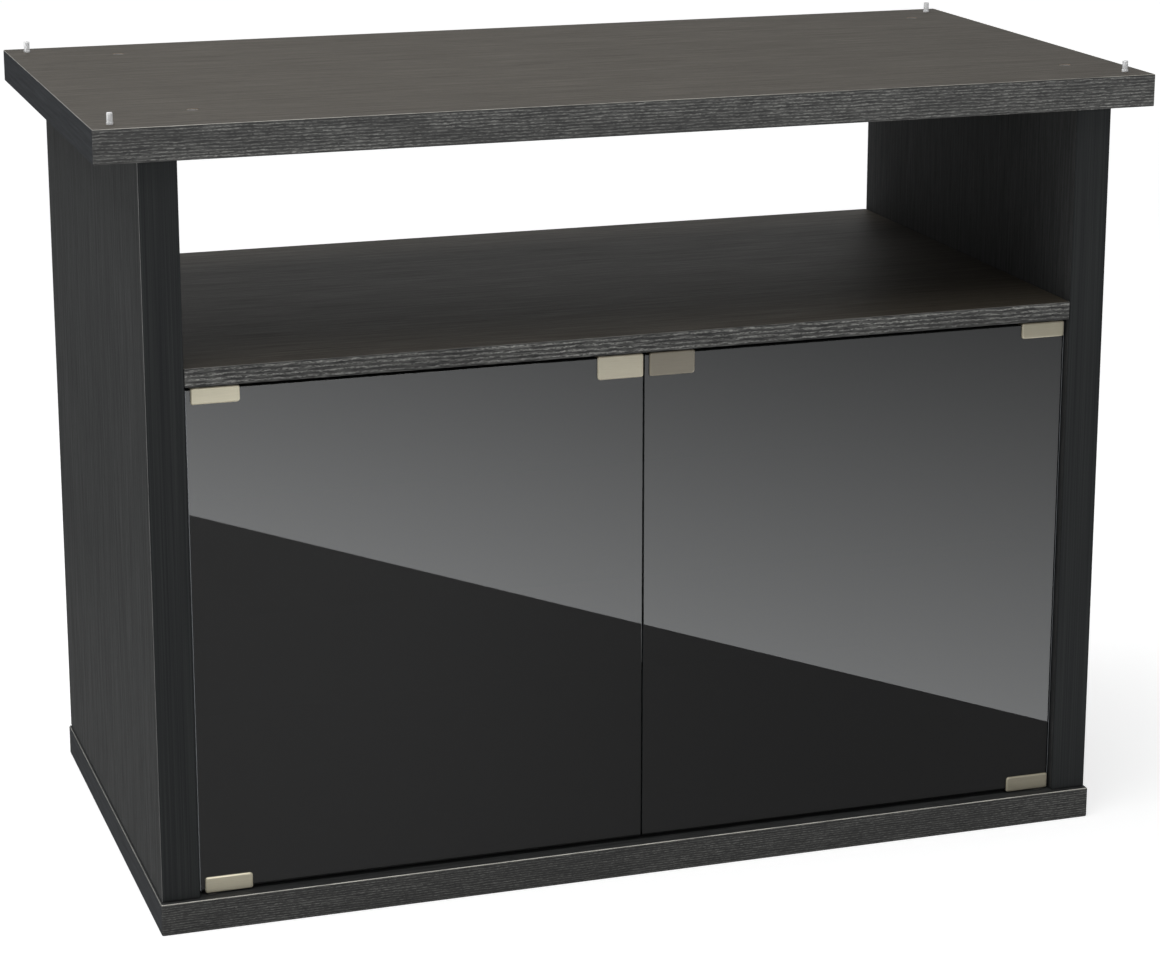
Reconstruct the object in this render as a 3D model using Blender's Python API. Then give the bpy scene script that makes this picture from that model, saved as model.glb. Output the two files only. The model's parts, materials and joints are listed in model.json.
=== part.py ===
"""Glass-fronted aquarium stand cabinet, one object per physical piece.

Metres, +X to the right seen from the front, +Y to the back, +Z up.
The origin is on the floor, under the middle of the top board.
"""

import math

import bmesh
import bpy
from mathutils import Matrix, Vector

# Driving sizes of the cabinet.
TOP_WIDTH = 0.920
TOP_DEPTH = 0.460
CABINET_HEIGHT = 0.680
TOP_THICK = 0.028
BASE_THICK = 0.028
SIDE_THICK = 0.032
SHELF_THICK = 0.016
SIDES_WIDTH = 0.848
BASE_WIDTH = 0.852
FRONT_OVERHANG = 0.010
BASE_FRONT_STEP = 0.005
SHELF_UNDERSIDE = 0.466
GAP = 0.0003
ARRIS = 0.0008

# The lower back panel and its cable outlet.
BACK_THICK = 0.012
BACK_RECESS = 0.004
OUTLET_RADIUS = 0.030
OUTLET_X = 0.290
OUTLET_Z = 0.398

# Front edge strips of the side panels.
STRIP_THICK = 0.002

# The shelf behind the doors and its pegs.
INNER_SHELF_BASE = 0.232
INNER_SHELF_FRONT = -0.150
INNER_SHELF_BACK = 0.205
INNER_SHELF_SIDE_GAP = 0.0015
PEG_FRONT_Y = -0.110
PEG_BACK_Y = 0.165
PEG_RADIUS = 0.0025
PEG_SUNK = 0.010
PEG_PROUD = 0.009

# Pins that locate the tank, and caps over the top board's fixings.
PIN_INSET_X = 0.018
PIN_INSET_Y = 0.022
PIN_RADIUS = 0.0025
PIN_COLLAR_RADIUS = 0.0030
PIN_COLLAR_HEIGHT = 0.0018
PIN_HEIGHT = 0.0095
PIN_SUNK = 0.011
CAP_LEFT_X = -0.366
CAP_RIGHT_X = 0.410
CAP_FRONT_INSET = 0.073
CAP_BACK_INSET = 0.059
CAP_RADIUS = 0.0048
CAP_THICK = 0.0012
CAP_SET_DOWN = 0.0002
CAP_STEM_RADIUS = 0.0035
CAP_STEM_LENGTH = 0.006
CAP_DISH_RADIUS = 0.0030
CAP_DISH_DEPTH = 0.0004

# Screws up through the base board into the side panels.
BASE_SCREW_INSET_Y = 0.060
BASE_SCREW_HEAD_RADIUS = 0.005
BASE_SCREW_HEAD = 0.004
BASE_SCREW_RECESS = 0.001
BASE_SCREW_SHANK_RADIUS = 0.003
BASE_SCREW_END = 0.075
BASE_SCREW_SOCKET = 0.0025
HOLE_EXTRA = 0.0004

# Glass doors.
GLASS_THICK = 0.005
GLASS_RECESS = 0.007
GLASS_SIDE_GAP = 0.0016
GLASS_MIDDLE_GAP = 0.0012
GLASS_TOP_GAP = 0.0038
GLASS_BOTTOM_GAP = 0.003
GLASS_ARRIS = 0.0005

# Clips that hold the glass.
CLIP_WALL = 0.0017
CLIP_BRIDGE = 0.0015
CLIP_CHAMFER = 0.0008
CLIP_CORNER = 0.0016
CLIP_FREE_CORNER = 0.0024
PAD_THICK = 0.0008
PAD_MARGIN = 0.0020
HINGE_LENGTH = 0.0405
HINGE_HEIGHT = 0.0135
HINGE_INSET_LEFT = 0.0042
HINGE_INSET_RIGHT = 0.0008
PIVOT_INSET = 0.010
PIVOT_RADIUS = 0.003
PIVOT_REACH_TOP = 0.0075
PIVOT_REACH_BOTTOM = 0.0070
CATCH_LENGTH = 0.0405
CATCH_HEIGHT = 0.0200
CATCH_INSET_LEFT = 0.0003
CATCH_INSET_RIGHT = 0.0040
CATCH_SCREW_OFFSET = 0.0125
HINGE_SCREW_OFFSET = 0.0060
GRUB_RADIUS = 0.0020
GRUB_LENGTH = 0.0030
GRUB_SOCKET_RADIUS = 0.0011
GRUB_SOCKET_DEPTH = 0.0012

# Flanged bushes that the pivots turn in.
BUSH_RADIUS = 0.005
BUSH_DEPTH = 0.009
BUSH_FLANGE_RADIUS = 0.007
BUSH_FLANGE = 0.0006
BUSH_BORE_CLEARANCE = 0.0001
BUSH_BORE_DEPTH = 0.008

# Magnetic push latches under the niche shelf.
HOUSING_WIDTH = 0.015
HOUSING_FRONT = -0.1990
HOUSING_LENGTH = 0.060
HOUSING_HEIGHT = 0.0224
HOUSING_ARRIS = 0.0012
PLUNGER_RADIUS = 0.0045
PLUNGER_CLEARANCE = 0.0002
PLUNGER_TAIL = -0.169
PLUNGER_BORE = 0.038
PLUNGER_DROP = 0.0150
MAGNET_RADIUS = 0.0040
MAGNET_THICK = 0.0030
LATCH_SCREW_Y = -0.149
LATCH_SCREW_HEAD_RADIUS = 0.0035
LATCH_SCREW_HEAD = 0.0022
LATCH_SCREW_SINK = 0.0008
LATCH_SCREW_SHANK_RADIUS = 0.0017
LATCH_SCREW_BITE = 0.010
LATCH_SCREW_SOCKET = 0.0012

# Facets round a small turned piece, and round the cable outlet.
SEGMENTS = 16
OUTLET_SEGMENTS = 32
CORNER_STEPS = 3
HEX = 6

# Sizes that follow from the ones above.
FRONT_Y = -TOP_DEPTH / 2
BACK_Y = TOP_DEPTH / 2
SIDE_FRONT = FRONT_Y + FRONT_OVERHANG
SIDE_INNER = SIDES_WIDTH / 2 - SIDE_THICK
SIDE_MIDDLE = SIDES_WIDTH / 2 - SIDE_THICK / 2
TOP_UNDERSIDE = CABINET_HEIGHT - TOP_THICK
PEG_Z = INNER_SHELF_BASE - GAP - PEG_RADIUS
GLASS_FRONT = SIDE_FRONT + GLASS_RECESS
GLASS_BACK = GLASS_FRONT + GLASS_THICK
GLASS_LOW = BASE_THICK + GLASS_BOTTOM_GAP
GLASS_HIGH = SHELF_UNDERSIDE - GLASS_TOP_GAP
GLASS_OUTER = SIDE_INNER - GLASS_SIDE_GAP
GLASS_INNER = GLASS_MIDDLE_GAP / 2
CLIP_FRONT = GLASS_FRONT - GAP - CLIP_WALL
PAD_FRONT = GLASS_BACK + GAP
PAD_BACK = PAD_FRONT + PAD_THICK
CLIP_BACK_INNER = PAD_BACK + GAP
CLIP_BACK = CLIP_BACK_INNER + CLIP_WALL
PIVOT_X = GLASS_OUTER - PIVOT_INSET
PIVOT_Y = (CLIP_FRONT + CLIP_BACK) / 2
MAGNET_FRONT = CLIP_BACK + GAP
PLUNGER_FRONT = MAGNET_FRONT + MAGNET_THICK + GAP
PLUNGER_Z = SHELF_UNDERSIDE - PLUNGER_DROP
HOUSING_TOP = SHELF_UNDERSIDE - GAP
HOUSING_LOW = HOUSING_TOP - HOUSING_HEIGHT
HOUSING_BACK = HOUSING_FRONT + HOUSING_LENGTH

UP = Vector((0, 0, 1))
DOWN = Vector((0, 0, -1))
BACKWARD = Vector((0, 1, 0))
SIDES = (("left", -1), ("right", 1))
ENDS = (("top", 1), ("bottom", -1))

# Colour, roughness and metallic of each finish.
FINISHES = {
    "board_veneer": ((0.035, 0.034, 0.032), 0.55, 0.0),
    "edge_strip": ((0.030, 0.031, 0.032), 0.35, 0.0),
    "smoked_glass": ((0.030, 0.031, 0.032), 0.05, 0.0),
    "satin_nickel": ((0.620, 0.580, 0.500), 0.35, 1.0),
    "clear_plastic": ((0.850, 0.850, 0.850), 0.30, 0.0),
    "dark_plastic": ((0.080, 0.078, 0.074), 0.45, 0.0),
    "rubber_pad": ((0.050, 0.050, 0.050), 0.80, 0.0),
    "zinc_steel": ((0.550, 0.550, 0.560), 0.40, 1.0),
}


def clear_scene():
    for old in list(bpy.data.objects):
        bpy.data.objects.remove(old, do_unlink=True)


def finish_material(node, finish):
    """A material of the node's own, so that each piece can be coloured apart."""
    colour, roughness, metallic = FINISHES[finish]
    material = bpy.data.materials.new(node + "_" + finish)
    material.use_nodes = True
    shader = material.node_tree.nodes["Principled BSDF"]
    shader.inputs["Base Color"].default_value = (*colour, 1.0)
    shader.inputs["Roughness"].default_value = roughness
    shader.inputs["Metallic"].default_value = metallic
    return material


def object_from(shape, name, finish=None):
    """Turns a bmesh into an object with outward faces, and frees the bmesh."""
    bmesh.ops.recalc_face_normals(shape, faces=shape.faces)
    mesh = bpy.data.meshes.new(name)
    shape.to_mesh(mesh)
    shape.free()
    made = bpy.data.objects.new(name, mesh)
    bpy.context.scene.collection.objects.link(made)
    if finish:
        mesh.materials.append(finish_material(name, finish))
    return made


def add_box(shape, low, high):
    size = Vector(high) - Vector(low)
    middle = (Vector(high) + Vector(low)) / 2
    matrix = Matrix.Translation(middle) @ Matrix.Diagonal((*size, 1.0))
    return bmesh.ops.create_cube(shape, size=1.0, matrix=matrix)


def box(name, finish, low, high, arris=ARRIS):
    """A board or block with its edges broken by a small flat."""
    shape = bmesh.new()
    add_box(shape, low, high)
    bmesh.ops.bevel(
        shape, geom=list(shape.edges), offset=arris, segments=1, affect="EDGES"
    )
    return object_from(shape, name, finish)


def add_lathe(shape, profile, origin, axis, segments=SEGMENTS):
    """Turns (radius, height) points round axis. The first and last are on the axis."""
    turn = UP.rotation_difference(axis).to_matrix()
    rings = []
    for radius, height in profile:
        steps = segments if radius > 0 else 1
        ring = []
        for step in range(steps):
            angle = 2 * math.pi * (step + 0.5) / segments
            point = Vector((radius * math.cos(angle), radius * math.sin(angle), height))
            ring.append(shape.verts.new(turn @ point + Vector(origin)))
        rings.append(ring)
    for lower, upper in zip(rings, rings[1:]):
        for step in range(segments):
            following = (step + 1) % segments
            corners = []
            corners.append(lower[step % len(lower)])
            if len(lower) > 1:
                corners.append(lower[following])
            if len(upper) > 1:
                corners.append(upper[following])
            corners.append(upper[step % len(upper)])
            shape.faces.new(corners)


def turned(name, finish, profile, origin, axis=UP, segments=SEGMENTS):
    shape = bmesh.new()
    add_lathe(shape, profile, origin, axis, segments)
    return object_from(shape, name, finish)


def rod(radius, start, end):
    """The profile of a plain cylinder."""
    return [(0, start), (radius, start), (radius, end), (0, end)]


def outline(x0, x1, z0, z1, radii):
    """A rectangle with its own radius at each corner, anticlockwise from low left."""
    centres = (
        (x0, z0, 1, 1, math.pi),
        (x1, z0, -1, 1, 1.5 * math.pi),
        (x1, z1, -1, -1, 0.0),
        (x0, z1, 1, -1, 0.5 * math.pi),
    )
    points = []
    for (x, z, sx, sz, start), radius in zip(centres, radii):
        for step in range(CORNER_STEPS + 1):
            angle = start + 0.5 * math.pi * step / CORNER_STEPS
            points.append(
                (
                    x + sx * radius + radius * math.cos(angle),
                    z + sz * radius + radius * math.sin(angle),
                )
            )
    return points


def add_plate(shape, x0, x1, z0, z1, y0, y1, radii, chamfer):
    """A plate across Y with rounded corners and a chamfer round each face."""
    inner = [radius - chamfer / 2 for radius in radii]
    small = outline(x0 + chamfer, x1 - chamfer, z0 + chamfer, z1 - chamfer, inner)
    full = outline(x0, x1, z0, z1, radii)
    layers = ((y0, small), (y0 + chamfer, full), (y1 - chamfer, full), (y1, small))
    rings = []
    for y, points in layers:
        rings.append([shape.verts.new((x, y, z)) for x, z in points])
    for near, far in zip(rings, rings[1:]):
        for step in range(len(near)):
            following = (step + 1) % len(near)
            shape.faces.new((near[step], near[following], far[following], far[step]))
    shape.faces.new(rings[0])
    shape.faces.new(reversed(rings[-1]))


def cutter(name, shape):
    """A hidden shape that is only there to cut or to join."""
    made = object_from(shape, name)
    made.hide_render = True
    made.display_type = "WIRE"
    return made


def combine(piece, tool, operation):
    modifier = piece.modifiers.new(operation.lower(), "BOOLEAN")
    modifier.operation = operation
    modifier.solver = "EXACT"
    modifier.object = tool


def cut(piece, holes):
    """Cuts (profile, origin, axis, segments) holes from a piece."""
    shape = bmesh.new()
    for profile, origin, axis, segments in holes:
        add_lathe(shape, profile, origin, axis, segments)
    combine(piece, cutter(piece.name + "_holes", shape), "DIFFERENCE")


def hole(radius, depth, origin, axis, segments=SEGMENTS):
    """A hole that starts just outside its mouth at origin and goes in along axis."""
    return rod(radius, -GAP, depth), origin, axis, segments


def stepped_hole(mouth_radius, sink, radius, depth, origin, axis):
    """A hole with a wider mouth, sink deep, for a head or a cap."""
    profile = [
        (0, -GAP),
        (mouth_radius, -GAP),
        (mouth_radius, sink),
        (radius, sink),
        (radius, depth),
        (0, depth),
    ]
    return profile, origin, axis, SEGMENTS


def corner_points(xs, ys):
    """The four plan corners, each with its name."""
    for end, y in zip(("front", "back"), ys):
        for (side, _), x in zip(SIDES, xs):
            yield end + "_" + side, x, y


def pin_places():
    x = TOP_WIDTH / 2 - PIN_INSET_X
    return list(corner_points((-x, x), (FRONT_Y + PIN_INSET_Y, BACK_Y - PIN_INSET_Y)))


def cap_places():
    ys = (FRONT_Y + CAP_FRONT_INSET, BACK_Y - CAP_BACK_INSET)
    return list(corner_points((CAP_LEFT_X, CAP_RIGHT_X), ys))


def base_screw_places():
    ys = (SIDE_FRONT + BASE_SCREW_INSET_Y, BACK_Y - BASE_SCREW_INSET_Y)
    return list(corner_points((-SIDE_MIDDLE, SIDE_MIDDLE), ys))


def catch_span(sign):
    """The low and high X of a catch plate."""
    inset = CATCH_INSET_LEFT if sign < 0 else CATCH_INSET_RIGHT
    near = GLASS_INNER + inset
    return sorted((sign * near, sign * (near + CATCH_LENGTH)))


def latch_x(sign):
    return sum(catch_span(sign)) / 2


def top_board():
    half = TOP_WIDTH / 2
    board = box(
        "top_board",
        "board_veneer",
        (-half, FRONT_Y, TOP_UNDERSIDE),
        (half, BACK_Y, CABINET_HEIGHT),
    )
    holes = []
    for _, x, y in pin_places():
        mouth = (x, y, CABINET_HEIGHT)
        holes.append(hole(PIN_COLLAR_RADIUS + GAP, PIN_SUNK + GAP, mouth, DOWN))
    for _, x, y in cap_places():
        mouth = (x, y, CABINET_HEIGHT)
        seat = CAP_RADIUS + GAP
        sink = CAP_SET_DOWN + CAP_THICK + GAP
        bore = CAP_STEM_RADIUS + GAP
        holes.append(stepped_hole(seat, sink, bore, CAP_STEM_LENGTH + GAP, mouth, DOWN))
    cut(board, holes)


def base_board():
    half = BASE_WIDTH / 2
    board = box(
        "base_board",
        "board_veneer",
        (-half, SIDE_FRONT - BASE_FRONT_STEP, 0),
        (half, BACK_Y, BASE_THICK),
    )
    holes = []
    for _, x, y in base_screw_places():
        head = BASE_SCREW_HEAD_RADIUS + HOLE_EXTRA
        sink = BASE_SCREW_RECESS + BASE_SCREW_HEAD + GAP
        shank = BASE_SCREW_SHANK_RADIUS + HOLE_EXTRA
        holes.append(stepped_hole(head, sink, shank, BASE_THICK + GAP, (x, y, 0), UP))
    for _, sign in SIDES:
        mouth = (sign * PIVOT_X, PIVOT_Y, BASE_THICK)
        holes.append(hole(BUSH_RADIUS + GAP, BUSH_DEPTH + GAP, mouth, DOWN))
    cut(board, holes)


def peg_places():
    """Name, side sign and Y of each peg."""
    for end, y in (("front", PEG_FRONT_Y), ("back", PEG_BACK_Y)):
        for side, sign in SIDES:
            yield end + "_" + side, sign, y


def side_panel(side, sign):
    xs = sorted((sign * SIDE_INNER, sign * SIDES_WIDTH / 2))
    panel = box(
        "side_panel_" + side,
        "board_veneer",
        (xs[0], SIDE_FRONT + STRIP_THICK + GAP, BASE_THICK + GAP),
        (xs[1], BACK_Y, TOP_UNDERSIDE - GAP),
    )
    outward = Vector((sign, 0, 0))
    holes = []
    for y in (PEG_FRONT_Y, PEG_BACK_Y):
        mouth = (sign * SIDE_INNER, y, PEG_Z)
        holes.append(hole(PEG_RADIUS, PEG_SUNK + GAP, mouth, outward))
    for _, x, y in base_screw_places():
        if x * sign > 0:
            radius = BASE_SCREW_SHANK_RADIUS + HOLE_EXTRA
            depth = BASE_SCREW_END - BASE_THICK + GAP
            holes.append(hole(radius, depth, (x, y, BASE_THICK + GAP), UP))
    cut(panel, holes)


def front_strip(side, sign):
    xs = sorted((sign * SIDE_INNER, sign * SIDES_WIDTH / 2))
    box(
        "front_strip_" + side,
        "edge_strip",
        (xs[0], SIDE_FRONT, BASE_THICK + GAP),
        (xs[1], SIDE_FRONT + STRIP_THICK, TOP_UNDERSIDE - GAP),
    )


def niche_shelf():
    half = SIDE_INNER - GAP
    shelf = box(
        "niche_shelf",
        "board_veneer",
        (-half, SIDE_FRONT, SHELF_UNDERSIDE),
        (half, BACK_Y, SHELF_UNDERSIDE + SHELF_THICK),
    )
    holes = []
    for _, sign in SIDES:
        bush = (sign * PIVOT_X, PIVOT_Y, SHELF_UNDERSIDE)
        holes.append(hole(BUSH_RADIUS + GAP, BUSH_DEPTH + GAP, bush, UP))
        screw = (latch_x(sign), LATCH_SCREW_Y, SHELF_UNDERSIDE)
        radius = LATCH_SCREW_SHANK_RADIUS + GAP
        holes.append(hole(radius, LATCH_SCREW_BITE + GAP, screw, UP))
    cut(shelf, holes)


def back_panel():
    half = SIDE_INNER - GAP
    back = BACK_Y - BACK_RECESS
    panel = box(
        "back_panel",
        "board_veneer",
        (-half, back - BACK_THICK, BASE_THICK + GAP),
        (half, back, SHELF_UNDERSIDE - GAP),
    )
    mouth = (OUTLET_X, back - BACK_THICK, OUTLET_Z)
    cut(panel, [hole(OUTLET_RADIUS, BACK_THICK + GAP, mouth, BACKWARD, OUTLET_SEGMENTS)])


def inner_shelf():
    half = SIDE_INNER - INNER_SHELF_SIDE_GAP
    box(
        "inner_shelf",
        "board_veneer",
        (-half, INNER_SHELF_FRONT, INNER_SHELF_BASE),
        (half, INNER_SHELF_BACK, INNER_SHELF_BASE + SHELF_THICK),
    )


def shelf_pegs():
    """Each peg sits in a hole in a side panel and carries the shelf."""
    profile = [
        (0, -PEG_SUNK),
        (PEG_RADIUS - GAP, -PEG_SUNK),
        (PEG_RADIUS - GAP, GAP),
        (PEG_RADIUS, GAP),
        (PEG_RADIUS, PEG_PROUD),
        (0, PEG_PROUD),
    ]
    for name, sign, y in peg_places():
        origin = (sign * SIDE_INNER, y, PEG_Z)
        inward = Vector((-sign, 0, 0))
        turned("shelf_peg_" + name, "zinc_steel", profile, origin, inward)


def locating_pins():
    tip = PIN_RADIUS * 0.35
    profile = [
        (0, -PIN_SUNK),
        (PIN_COLLAR_RADIUS, -PIN_SUNK),
        (PIN_COLLAR_RADIUS, PIN_COLLAR_HEIGHT),
        (PIN_RADIUS, PIN_COLLAR_HEIGHT + (PIN_COLLAR_RADIUS - PIN_RADIUS)),
        (PIN_RADIUS, PIN_HEIGHT - tip),
        (PIN_RADIUS - tip, PIN_HEIGHT),
        (0, PIN_HEIGHT),
    ]
    for name, x, y in pin_places():
        turned("locating_pin_" + name, "clear_plastic", profile, (x, y, CABINET_HEIGHT))


def cover_caps():
    """Each cap sits in a shallow seat, a little below the top, so the tank rests flat."""
    face = -CAP_SET_DOWN
    under = face - CAP_THICK
    profile = [
        (0, -CAP_STEM_LENGTH),
        (CAP_STEM_RADIUS, -CAP_STEM_LENGTH),
        (CAP_STEM_RADIUS, under),
        (CAP_RADIUS, under),
        (CAP_RADIUS, face - GAP),
        (CAP_RADIUS - GAP, face),
        (CAP_DISH_RADIUS, face),
        (CAP_DISH_RADIUS - CAP_DISH_DEPTH, face - CAP_DISH_DEPTH),
        (0, face - CAP_DISH_DEPTH),
    ]
    for name, x, y in cap_places():
        turned("cover_cap_" + name, "dark_plastic", profile, (x, y, CABINET_HEIGHT))


def socket_cut(screw, radius, depth, mouth, inward):
    """A hexagon socket in a screw's head."""
    cut(screw, [hole(radius, depth, mouth, inward, HEX)])


def base_screws():
    end = BASE_SCREW_END - GAP
    neck = BASE_SCREW_RECESS + BASE_SCREW_HEAD
    profile = [
        (0, BASE_SCREW_RECESS),
        (BASE_SCREW_HEAD_RADIUS, BASE_SCREW_RECESS),
        (BASE_SCREW_HEAD_RADIUS, neck),
        (BASE_SCREW_SHANK_RADIUS, neck),
        (BASE_SCREW_SHANK_RADIUS, end - BASE_SCREW_SHANK_RADIUS),
        (0, end),
    ]
    for name, x, y in base_screw_places():
        screw = turned("base_screw_" + name, "zinc_steel", profile, (x, y, 0))
        mouth = (x, y, BASE_SCREW_RECESS)
        radius = BASE_SCREW_HEAD_RADIUS / 2
        socket_cut(screw, radius, BASE_SCREW_SOCKET, mouth, UP)


def pivot_bush(side, sign, end, into):
    """A flanged sleeve let into the board that the pivot turns in."""
    surface = SHELF_UNDERSIDE if end == "top" else BASE_THICK
    bore = PIVOT_RADIUS + BUSH_BORE_CLEARANCE
    face = -GAP - BUSH_FLANGE
    profile = [
        (0, BUSH_DEPTH),
        (BUSH_RADIUS, BUSH_DEPTH),
        (BUSH_RADIUS, -GAP),
        (BUSH_FLANGE_RADIUS, -GAP),
        (BUSH_FLANGE_RADIUS, face),
        (bore, face),
        (bore, face + BUSH_BORE_DEPTH),
        (0, face + BUSH_BORE_DEPTH),
    ]
    axis = UP if into > 0 else DOWN
    origin = (sign * PIVOT_X, PIVOT_Y, surface)
    turned("pivot_bush_" + end + "_" + side, "dark_plastic", profile, origin, axis)


def door_glass(side, sign):
    xs = sorted((sign * GLASS_INNER, sign * GLASS_OUTER))
    return box(
        "door_glass_" + side,
        "smoked_glass",
        (xs[0], GLASS_FRONT, GLASS_LOW),
        (xs[1], GLASS_BACK, GLASS_HIGH),
        GLASS_ARRIS,
    )


def glass_clip(name, xs, zs, open_end, free_x):
    """A channel over the glass edge. open_end is -1 if it opens downwards.

    free_x is the side, -1 or 1, of the corner that is rounded most.
    """
    radii = [CLIP_CORNER] * 4
    order = {(-1, -1): 0, (1, -1): 1, (1, 1): 2, (-1, 1): 3}
    radii[order[(free_x, open_end)]] = CLIP_FREE_CORNER
    shape = bmesh.new()
    add_plate(shape, *xs, *zs, CLIP_FRONT, CLIP_BACK, radii, CLIP_CHAMFER)
    clip = object_from(shape, name, "satin_nickel")
    margin = CLIP_WALL
    channel = bmesh.new()
    low, high = zs
    if open_end < 0:
        low, high = low - margin, high - CLIP_BRIDGE
    else:
        low, high = low + CLIP_BRIDGE, high + margin
    add_box(
        channel,
        (xs[0] - margin, GLASS_FRONT - GAP, low),
        (xs[1] + margin, CLIP_BACK_INNER, high),
    )
    combine(clip, cutter(name + "_channel", channel), "DIFFERENCE")
    return clip


def glass_pad(name, xs, zs):
    return box(
        name,
        "rubber_pad",
        (xs[0] + PAD_MARGIN, PAD_FRONT, zs[0] + PAD_MARGIN),
        (xs[1] - PAD_MARGIN, PAD_BACK, zs[1] - PAD_MARGIN),
        PAD_THICK / 4,
    )


def grub_screw(name, clip, x, z):
    """A grub screw in the clip's back wall, pressing on the pad."""
    start = PAD_BACK + GAP
    profile = rod(GRUB_RADIUS, 0, GRUB_LENGTH)
    screw = turned(name, "zinc_steel", profile, (x, start, z), BACKWARD)
    mouth = (x, start + GRUB_LENGTH, z)
    inward = -BACKWARD
    socket_cut(screw, GRUB_SOCKET_RADIUS, GRUB_SOCKET_DEPTH, mouth, inward)
    bore = hole(GRUB_RADIUS + GAP, CLIP_WALL + 2 * GAP, (x, CLIP_BACK_INNER, z), BACKWARD)
    cut(clip, [bore])
    return screw


def hinge_clip(side, sign, end, outward):
    """A corner clip with the pivot pin standing on it, its pad and its grub screw."""
    tag = end + "_" + side
    inset = HINGE_INSET_LEFT if sign < 0 else HINGE_INSET_RIGHT
    near = sign * (GLASS_OUTER - inset)
    xs = sorted((near, near - sign * HINGE_LENGTH))
    if outward > 0:
        edge = GLASS_HIGH + CLIP_BRIDGE
        zs = (edge - HINGE_HEIGHT, edge)
        pad_zs = (zs[0], GLASS_HIGH)
    else:
        edge = GLASS_LOW - CLIP_BRIDGE
        zs = (edge, edge + HINGE_HEIGHT)
        pad_zs = (GLASS_LOW, zs[1])
    clip = glass_clip("hinge_clip_" + tag, xs, fit_bridge(zs, outward), -outward, -sign)
    reach = PIVOT_REACH_TOP if outward > 0 else PIVOT_REACH_BOTTOM
    root = CLIP_BRIDGE / 2
    axis = UP if outward > 0 else DOWN
    pin = bmesh.new()
    tip = PIVOT_RADIUS / 5
    profile = [(0, -root), (PIVOT_RADIUS, -root), (PIVOT_RADIUS, reach - tip)]
    profile += [(PIVOT_RADIUS - tip, reach), (0, reach)]
    add_lathe(pin, profile, (sign * PIVOT_X, PIVOT_Y, edge), axis)
    combine(clip, cutter(clip.name + "_pin", pin), "UNION")
    pad = glass_pad("hinge_pad_" + tag, xs, pad_zs)
    middle_x = sum(xs) / 2 - sign * HINGE_SCREW_OFFSET
    screw = grub_screw("hinge_screw_" + tag, clip, middle_x, sum(pad_zs) / 2)
    return [clip, pad, screw]


def fit_bridge(zs, outward):
    """Lifts the bridge clear of the glass edge by the standard gap."""
    if outward > 0:
        return zs[0], zs[1] + GAP
    return zs[0] - GAP, zs[1]


def catch_clip(side, sign):
    """The plate at the free top corner that the latch's magnet holds."""
    xs = catch_span(sign)
    edge = GLASS_HIGH + CLIP_BRIDGE
    zs = (edge - CATCH_HEIGHT, edge)
    plate = glass_clip("catch_plate_" + side, xs, fit_bridge(zs, 1), -1, sign)
    pad_zs = (zs[0], GLASS_HIGH)
    pad = glass_pad("catch_pad_" + side, xs, pad_zs)
    screw_x = sum(xs) / 2 + sign * CATCH_SCREW_OFFSET
    screw = grub_screw("catch_screw_" + side, plate, screw_x, sum(pad_zs) / 2)
    return [plate, pad, screw]


def push_latch(side, sign):
    """Housing and its screw on the cabinet, plunger and magnet that slide."""
    x = latch_x(sign)
    half = HOUSING_WIDTH / 2
    housing = box(
        "latch_housing_" + side,
        "dark_plastic",
        (x - half, HOUSING_FRONT, HOUSING_LOW),
        (x + half, HOUSING_BACK, HOUSING_TOP),
        HOUSING_ARRIS,
    )
    mouth = (x, HOUSING_FRONT, PLUNGER_Z)
    bore = hole(PLUNGER_RADIUS + PLUNGER_CLEARANCE, PLUNGER_BORE, mouth, BACKWARD)
    low = (x, LATCH_SCREW_Y, HOUSING_LOW)
    head = LATCH_SCREW_HEAD_RADIUS + HOLE_EXTRA
    sink = LATCH_SCREW_SINK + LATCH_SCREW_HEAD + GAP
    shank = LATCH_SCREW_SHANK_RADIUS + GAP
    screw_hole = stepped_hole(head, sink, shank, HOUSING_HEIGHT + GAP, low, UP)
    cut(housing, [bore, screw_hole])
    neck = LATCH_SCREW_SINK + LATCH_SCREW_HEAD
    end = HOUSING_HEIGHT + LATCH_SCREW_BITE
    profile = [
        (0, LATCH_SCREW_SINK),
        (LATCH_SCREW_HEAD_RADIUS, LATCH_SCREW_SINK),
        (LATCH_SCREW_HEAD_RADIUS, neck),
        (LATCH_SCREW_SHANK_RADIUS, neck),
        (LATCH_SCREW_SHANK_RADIUS, end - 2 * LATCH_SCREW_SHANK_RADIUS),
        (0, end),
    ]
    screw = turned("latch_screw_" + side, "zinc_steel", profile, low)
    screw_face = (x, LATCH_SCREW_Y, HOUSING_LOW + LATCH_SCREW_SINK)
    socket_cut(screw, LATCH_SCREW_HEAD_RADIUS / 2, LATCH_SCREW_SOCKET, screw_face, UP)
    body = rod(PLUNGER_RADIUS, PLUNGER_FRONT, PLUNGER_TAIL)
    axis_point = (x, 0, PLUNGER_Z)
    plunger = turned("latch_plunger_" + side, "clear_plastic", body, axis_point, BACKWARD)
    disc = rod(MAGNET_RADIUS, MAGNET_FRONT, MAGNET_FRONT + MAGNET_THICK)
    magnet = turned("latch_magnet_" + side, "zinc_steel", disc, axis_point, BACKWARD)
    return [plunger, magnet]


def on_axis(name, point, pieces):
    """Parents moving pieces to an empty that stands on their joint axis."""
    empty = bpy.data.objects.new(name, None)
    empty.location = point
    bpy.context.scene.collection.objects.link(empty)
    bpy.context.view_layer.update()
    for piece in pieces:
        piece.parent = empty
        piece.matrix_parent_inverse = empty.matrix_world.inverted()


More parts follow.
